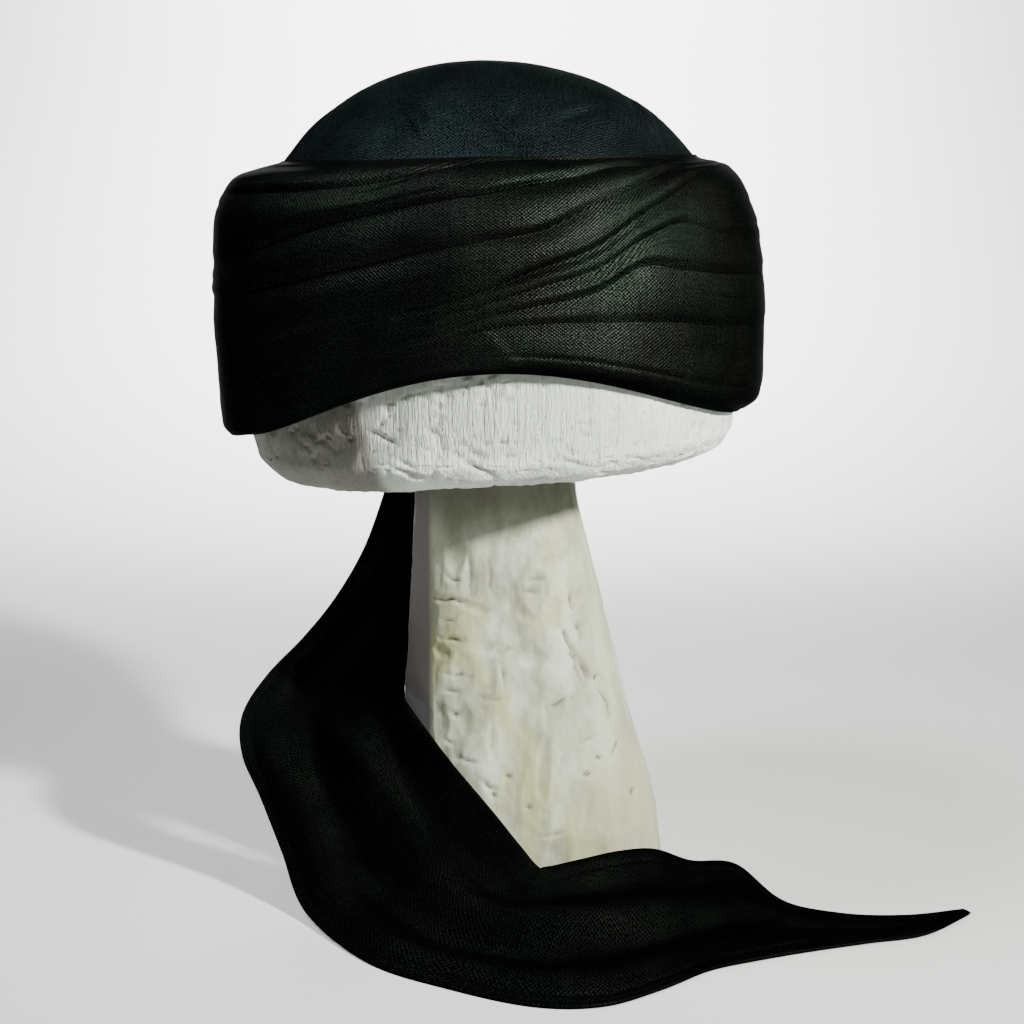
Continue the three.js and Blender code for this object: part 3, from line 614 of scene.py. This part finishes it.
# ---------------------------------------------------------------------------------------------
# The wrap: one long black cloth, folded into a strip and wound round the cap. Eight turns show,
# each swelling out between the valleys where it meets the next. At the upper right in front they
# run together, the lower ones lie level, and at the forehead one is folded over another.
CENTRE_X = -1.6
WRAP_HALF = {"width": 101.6, "depth": 107.6}
BRIM = {"side": 279, "tilt": 3}
WRAP_CLEARANCE = 0.8
OUTLINE_LENGTH = 118
PROFILE = {
    "share": (0, 0.03, 0.08, 0.2, 0.38, 0.5, 0.6, 0.69, 0.75, 0.8, 0.86, 0.93, 1),
    "rise": (0, 0.025, 0.075, 0.22, 0.45, 0.6, 0.72, 0.83, 0.9, 0.945, 0.97, 0.99, 1),
    "left": (5, 3, 2, 1.2, 0, 0, 0.8, 2.2, 5.2, 9.5, 16.5, 24, 28),
    "right": (6, 2.5, 0.8, 0, 0, 1.3, 3, 6.4, 9.4, 12.8, 17.3, 24.5, 28),
    "core": (0, 0.03, 0.08, 0.21, 0.42, 0.55, 0.65, 0.74, 0.79, 0.835, 0.885, 0.94, 0.985),
}
EDGES = {  # where each turn's upper edge runs, as a share of the outline, by azimuth in degrees
    "azimuth": (
        -180, -140, -100, -65, -50, -35, -20, -10, 0,
        10, 20, 30, 40, 52, 67, 90, 120, 150,
    ),
    "first": (
        .16, .13, .10, .09, .09, .09, .10, .125, .19,
        .213, .233, .256, .274, .28, .287, .28, .25, .2,
    ),
    "second": (
        .3, .25, .18, .16, .16, .16, .165, .185, .237,
        .28, .335, .44, .443, .443, .448, .44, .4, .345,
    ),
    "third": (
        .43, .36, .25, .22, .22, .22, .225, .24, .284,
        .345, .415, .53, .6, .577, .557, .545, .515, .47,
    ),
    "fourth": (
        .55, .46, .32, .275, .275, .275, .28, .29, .334,
        .411, .49, .61, .69, .775, .81, .79, .72, .62,
    ),
    "fifth": (
        .66, .57, .45, .423, .438, .447, .462, .487, .511,
        .548, .64, .71, .78, .84, .865, .855, .8, .72,
    ),
    "sixth": (
        .77, .69, .57, .53, .56, .6, .632, .66, .686,
        .725, .765, .83, .87, .9, .912, .905, .87, .82,
    ),
    "seventh": (
        .88, .82, .76, .735, .735, .733, .755, .83, .92,
        .945, .95, .952, .953, .955, .957, .955, .94, .91,
    ),
}
EDGE_GAP = 0.15
RELIEF = {
    "first": 1.0, "second": 1.2, "third": 1.1, "fourth": 1.7, "fifth": 2.3, "sixth": 2.4, "seventh": 2.0,
}
LEFT_EASE = (0.3, 0.3, 0.3, 0.4, 1.1, 1.2, 1.1)  # how far each edge still stands out on the left
SIDE_EASE = {"share": 0.8, "azimuth": 88, "spread": 28}
LIP = {"share": 0.93, "most": 0.2, "round": 4.2, "sharp": 2.4}
BACK = {"most": 0.3, "sharp": 4.2}
SWELL = {"mm": 0.5, "share": 0.05}
PLEATS = 3
PLEAT_VALLEY = {"deep": 0.62, "wide": 1.1}
PLEAT_RIDGE = {"high": 0.38, "wide": 1.6, "above": 2.4}
HEM_LINE = {"share": 0.088, "deep": 0.7, "wide": 1.1, "under": 2.2}
HEM_LINE_AZIMUTH = {"from": (0, 8), "to": (78, 62)}
FOREHEAD_FOLD = {"azimuth": -1.5, "share": 0.235, "slant": 45, "high": 0.42}
TUCK = 0.045
TUCKED_SHARES = (1, 0.66, 0.33, 0)
TUCKED_ROW = 6
SECTIONS = 520
ROUND_STITCH = 1.9


def wrap_side(azimuth, share, set_back):
    """A point of the wrap's outer side at a share of its outline, set back some mm."""
    right = step(np.sin(azimuth), -1, 1)
    hem = hem_height(azimuth)
    brim = BRIM["side"] - BRIM["tilt"] * np.cos(azimuth)
    inset = (1 - right) * curve(share, PROFILE["share"], PROFILE["left"])
    inset = inset + right * curve(share, PROFILE["share"], PROFILE["right"])
    upward = step(share, 0.66, 0.95) * np.pi / 2
    inward = inset + set_back * np.cos(upward)
    height = hem + curve(share, PROFILE["share"], PROFILE["rise"]) * (brim - hem) - set_back * np.sin(upward)
    clear = np.interp(height, CAP["height"], CAP["half"]) + 2 * WRAP_CLEARANCE
    half_width = np.maximum(WRAP_HALF["width"] - inward, clear)
    half_depth = np.maximum(WRAP_HALF["depth"] - inward, clear * (1 + CAP_EXTRA_DEPTH / CAP_WALL))
    return round_head(azimuth, half_width, half_depth, height, CENTRE_X)


def wrap_core(azimuth, share):
    """The same share of the outline on the wrap's inner side, against the cap."""
    hem = hem_height(azimuth)
    core = np.interp(np.minimum(share, 1), PROFILE["share"], PROFILE["core"])
    brim = BRIM["side"] - BRIM["tilt"] * np.cos(azimuth)
    return cap_side(azimuth, hem + core * (brim - hem), WRAP_CLEARANCE)


def edge_share(name, degrees):
    keys = np.array(EDGES["azimuth"], float)
    keys = np.concatenate([keys - 360, keys, keys + 360])
    return curve(degrees, keys, np.tile(EDGES[name], 3))


azimuth = np.linspace(-np.pi, np.pi, SECTIONS, endpoint=False)
degrees = np.degrees(azimuth)
names = list(RELIEF)
last = len(names)
wrap_cloth = black_cloth("wrap_cloth", (0.0078, 0.0102, 0.0080), 0.43, 0.75)
way = np.concatenate([np.linspace(0, 0.08, 8), np.linspace(0.1, 0.86, 26), np.linspace(0.88, 1, 10)])[:, None]
silhouette = 1 - SIDE_EASE["share"] * bell(abs(degrees) - SIDE_EASE["azimuth"], SIDE_EASE["spread"])
left_side = step(degrees, 8, -25) * step(degrees, -170, -130)
hem_line = step(degrees, *HEM_LINE_AZIMUTH["from"]) * step(degrees, *HEM_LINE_AZIMUTH["to"])


def standing(edge, seed):
    """How far an edge stands out along its way round: less at the sides, and never quite even."""
    if edge < 0:
        return silhouette
    way_round = np.stack([np.cos(azimuth), np.sin(azimuth), 0 * azimuth], -1) * 100
    even = 1 + (LEFT_EASE[edge] - 1) * left_side
    return silhouette * even * (0.78 + 0.45 * unevenness(way_round, 26, seed))


for turn in range(last + 1):
    low = 0 * azimuth if turn == 0 else edge_share(names[turn - 1], degrees)
    high = 0 * azimuth + 1 if turn == last else edge_share(names[turn], degrees) - EDGE_GAP / OUTLINE_LENGTH
    width = (high - low) * OUTLINE_LENGTH
    above, below = standing(turn if turn < last else -1, 150 + turn), standing(turn - 1, 149 + turn)
    back, lip = BACK["most"] * above, 0 * width
    if turn < last:
        back = np.minimum(RELIEF[names[turn]] * above, BACK["most"] * width)
    if turn > 0:
        lip = np.minimum(LIP["share"] * RELIEF[names[turn - 1]] * below, LIP["most"] * width)
    share = low + way * (high - low)
    from_lip, from_top = way * width, (1 - way) * width
    rounding = (1 - np.minimum(from_lip / np.minimum(LIP["round"], 0.35 * width), 1)) ** 2
    set_back = lip * (0.35 * rounding + 0.65 * bell(from_lip, LIP["sharp"]))
    set_back = set_back + back * (0.6 * bell(from_top, BACK["sharp"]) + 0.4 * step(way, 0.3, 1.0))
    swell = np.minimum(SWELL["mm"], SWELL["share"] * width)
    set_back = set_back - swell * above * np.sin(np.pi * way) ** 0.8
    surface = wrap_side(azimuth, share, set_back)
    room = np.clip(width / 22, 0.15, 1) * np.sin(np.pi * np.clip(way, 0.02, 0.98)) ** 0.5
    sway = unevenness(surface, 42, 50 + turn)
    round_it = azimuth * 60 + 0 * way
    along_it = np.stack([round_it, 0 * round_it, 0 * round_it + 30 * turn], -1)
    for pleat in range(PLEATS):
        seed = 5 * turn + pleat
        run = unevenness(along_it, 38, 70 + seed)
        centre = (pleat + 0.7 + 0.5 * unevenness(along_it, 60, 90 + seed)) / (PLEATS + 0.4)
        off = (way - centre) * width
        strength = step(run, -0.15, 0.6) * (1 - 0.75 * left_side * (turn < 5))
        valley = PLEAT_VALLEY["deep"] * bell(off, PLEAT_VALLEY["wide"])
        ridge = PLEAT_RIDGE["high"] * bell(off - PLEAT_RIDGE["above"], PLEAT_RIDGE["wide"])
        set_back = set_back + strength * room * (valley - ridge)
    set_back = set_back + room * (0.35 * sway + 0.12 * unevenness(surface, (16, 16, 5), 130 + turn))
    if turn == 0:
        off = (share - HEM_LINE["share"]) * OUTLINE_LENGTH
        set_back = set_back + hem_line * HEM_LINE["deep"] * bell(off, HEM_LINE["wide"])
        set_back = set_back + hem_line * HEM_LINE["under"] * step(share, HEM_LINE["share"], 0.01)
        fold = degrees - FOREHEAD_FOLD["azimuth"] - (FOREHEAD_FOLD["share"] - share) * FOREHEAD_FOLD["slant"]
        set_back = set_back - FOREHEAD_FOLD["high"] * step(fold, 0.9, -0.9) * step(fold, -16, -3)
    surface = wrap_side(azimuth, share, set_back)
    tucked_low = 0 * low if turn == 0 else np.minimum(low + TUCK, 0.5 * (low + 1))
    tucked_high = 0 * high + 1 if turn == last else np.minimum(high + TUCK, 0.5 * (high + 1))
    tucked = [tucked_low + part * (tucked_high - tucked_low) for part in TUCKED_SHARES]
    core = np.array([wrap_core(azimuth, core_share) for core_share in tucked])
    points = np.concatenate([surface, core])
    run = np.linalg.norm(np.roll(surface, -1, 1) - surface, axis=-1).mean(0).cumsum()
    run = np.concatenate([[0], run])
    run = run * round(run[-1] / ROUND_STITCH) * ROUND_STITCH / run[-1]
    rise = np.concatenate([low * OUTLINE_LENGTH + way * width, np.zeros((len(core) + 1, SECTIONS))])
    rise[len(surface):-1] = rise[len(surface) - 1] + np.arange(1, len(core) + 1)[:, None] * TUCKED_ROW
    rise[-1] = rise[-2] + TUCKED_ROW
    rise = np.concatenate([rise, rise[:, :1]], 1)
    cloth = np.stack([np.broadcast_to(run, rise.shape), rise], -1)
    made = skin(f"wrap_turn_{turn + 1}", points, cloth, close_rows=True)
    made.data.materials.append(wrap_cloth)
    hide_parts(f"turn_{turn + 1}")
    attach(made, "root")

# ---------------------------------------------------------------------------------------------
# The tail: the loose end of the same cloth. It comes from under the wrap at the nape, swings
# round the left of the post in long folds, and lies on the floor in front, drawn to a point.
TAIL = {  # from the nape to the point: the outer edge, the inner edge, the bow between, the folds
    "ox": (
        -37, -42, -48, -56, -66.5, -78, -91.5, -99, -97.5, -89.5, -81, -70,
        -43, -14, 14, 37, 57, 75, 92, 113, 135, 157, 178.5,
    ),
    "oy": (
        93.2, 94, 91, 76, 58, 41, 22, 6, -7, -15, -23, -42,
        -80, -100, -113, -113, -101, -86, -78, -70, -63, -56, -37,
    ),
    "oz": (178.6, 160, 141, 118.5, 101, 88, 76, 65, 53, 38, 20, 4, 1, 1, 1, 1, 1, 1, 1, 1, 1, 1, 1),
    "ix": (
        11.7, 10, 7, 0, -10, -22, -30.5, -34.7, -34.2, -31, -16, 3.5,
        15.5, 19.5, 32, 46, 60, 75, 93, 109, 130, 154, 177.5,
    ),
    "iy": (
        98.9, 99.5, 98, 88, 72, 57, 43, 16, -12, -29, -42, -50,
        -56, -57, -54, -46, -36, -23, -15, -29, -39, -40.5, -34.5,
    ),
    "iz": (
        180.8, 162, 141, 119, 103, 91, 82, 79, 79.5, 78, 62, 40.5,
        26.8, 26.3, 28, 28, 25, 15.5, 11, 2, 1, 1, 1,
    ),
    "bow": (
        -3.2, -2.8, -2.6, -2.6, -2.6, -2.8, -3, -4, -3.5, -3, -2, -2,
        -2, -2, -2, -2, -2, -1.5, -0.5, 0.5, 0.8, 0.5, 0,
    ),
    "fold": (
        0, 0.8, 2, 2.4, 2.6, 2.8, 3, 3.5, 3.5, 3.5, 3.5, 3.5,
        3.5, 3.5, 3.5, 3.2, 2.8, 2.4, 1.8, 1.4, 0.8, 0.4, 0,
    ),
}
TAIL_FOLDS = 2.3
TAIL_FOLD_START = -0.85
TAIL_CLOTH = 1.3
TAIL_ROWS, TAIL_COLUMNS = 380, 100
TAIL_STATION = 9
TAIL_CREASES = (((44, 6.5, 10), 201, 0.9), ((20, 3.4, 10), 202, 0.35), ((16, 22, 10), 203, 0.8))
TAIL_FULL_WIDTH = 40
TAIL_HEM = {"from edge": 5.0, "wide": 0.7, "deep": 0.5}
FLOOR_GAP = 0.2

way = np.linspace(0, len(TAIL["ox"]) - 1, TAIL_ROWS)[:, None]
over = np.linspace(0, 1, TAIL_COLUMNS)[None, :]
keys = np.arange(len(TAIL["ox"]))
read = {name: curve(way, keys, values) for name, values in TAIL.items()}
outer = np.stack([read["ox"], read["oy"], read["oz"]], -1)
inner = np.stack([read["ix"], read["iy"], read["iz"]], -1)
span = inner - outer
raised = np.clip((outer[..., 2] - 5) / 40, 0, 1)[..., None]
sideways = np.stack([span[..., 1], -span[..., 0], 0 * span[..., 0]], -1)
sideways = sideways / np.linalg.norm(sideways, axis=-1, keepdims=True)
lift = sideways * raised + np.array([0, 0, 1]) * (1 - raised)
lift = lift / np.linalg.norm(lift, axis=-1, keepdims=True)
arch = 4 * over * (1 - over)
waves = np.sin(2 * np.pi * TAIL_FOLDS * over + TAIL_FOLD_START) * arch ** 0.5
sheet = outer + span * over[..., None]
sheet = sheet + lift * (read["bow"] * arch + read["fold"] * waves)[..., None]
wide = np.linalg.norm(span, axis=-1)
fullness = np.clip(wide / TAIL_FULL_WIDTH, 0, 1)
laid_flat = np.stack([way * TAIL_STATION + 0 * over, over * wide, 0 * over + 0 * way], -1)
creases = layered(laid_flat, TAIL_CREASES) * arch ** 0.5
hems = [bell(part * wide - TAIL_HEM["from edge"], TAIL_HEM["wide"]) for part in (over, 1 - over)]
sheet = sheet + lift * ((creases - TAIL_HEM["deep"] * sum(hems)) * fullness)[..., None]
normals = np.cross(np.gradient(sheet, axis=1), np.gradient(sheet, axis=0))
normals = normals / np.linalg.norm(normals, axis=-1, keepdims=True)
faces = np.stack([sheet + normals * TAIL_CLOTH / 2, sheet - normals * TAIL_CLOTH / 2])
faces[..., 2] += np.maximum(FLOOR_GAP - faces[..., 2].min(0), 0)
faces[:, [0, -1]] = faces[:, [0, -1]].mean(0)
loop = np.concatenate([faces[0], faces[1][:, ::-1]], 1)
run = np.concatenate([[0], np.linalg.norm(np.diff(sheet, axis=0), axis=-1).mean(1).cumsum()])
laid = np.stack([np.broadcast_to(run[:, None], (TAIL_ROWS, TAIL_COLUMNS)), over * wide], -1)
tail = skin("tail_cloth", loop, np.concatenate([laid, laid[:, ::-1], laid[:, :1]], 1))
# painted shade: the tail's tone is darker than the wrap's, though it is the same cloth
tail.data.materials.append(black_cloth("tail_cloth", (0.0030, 0.0038, 0.0030), 0.54, 0.7))
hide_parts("tail")
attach(tail, "root")
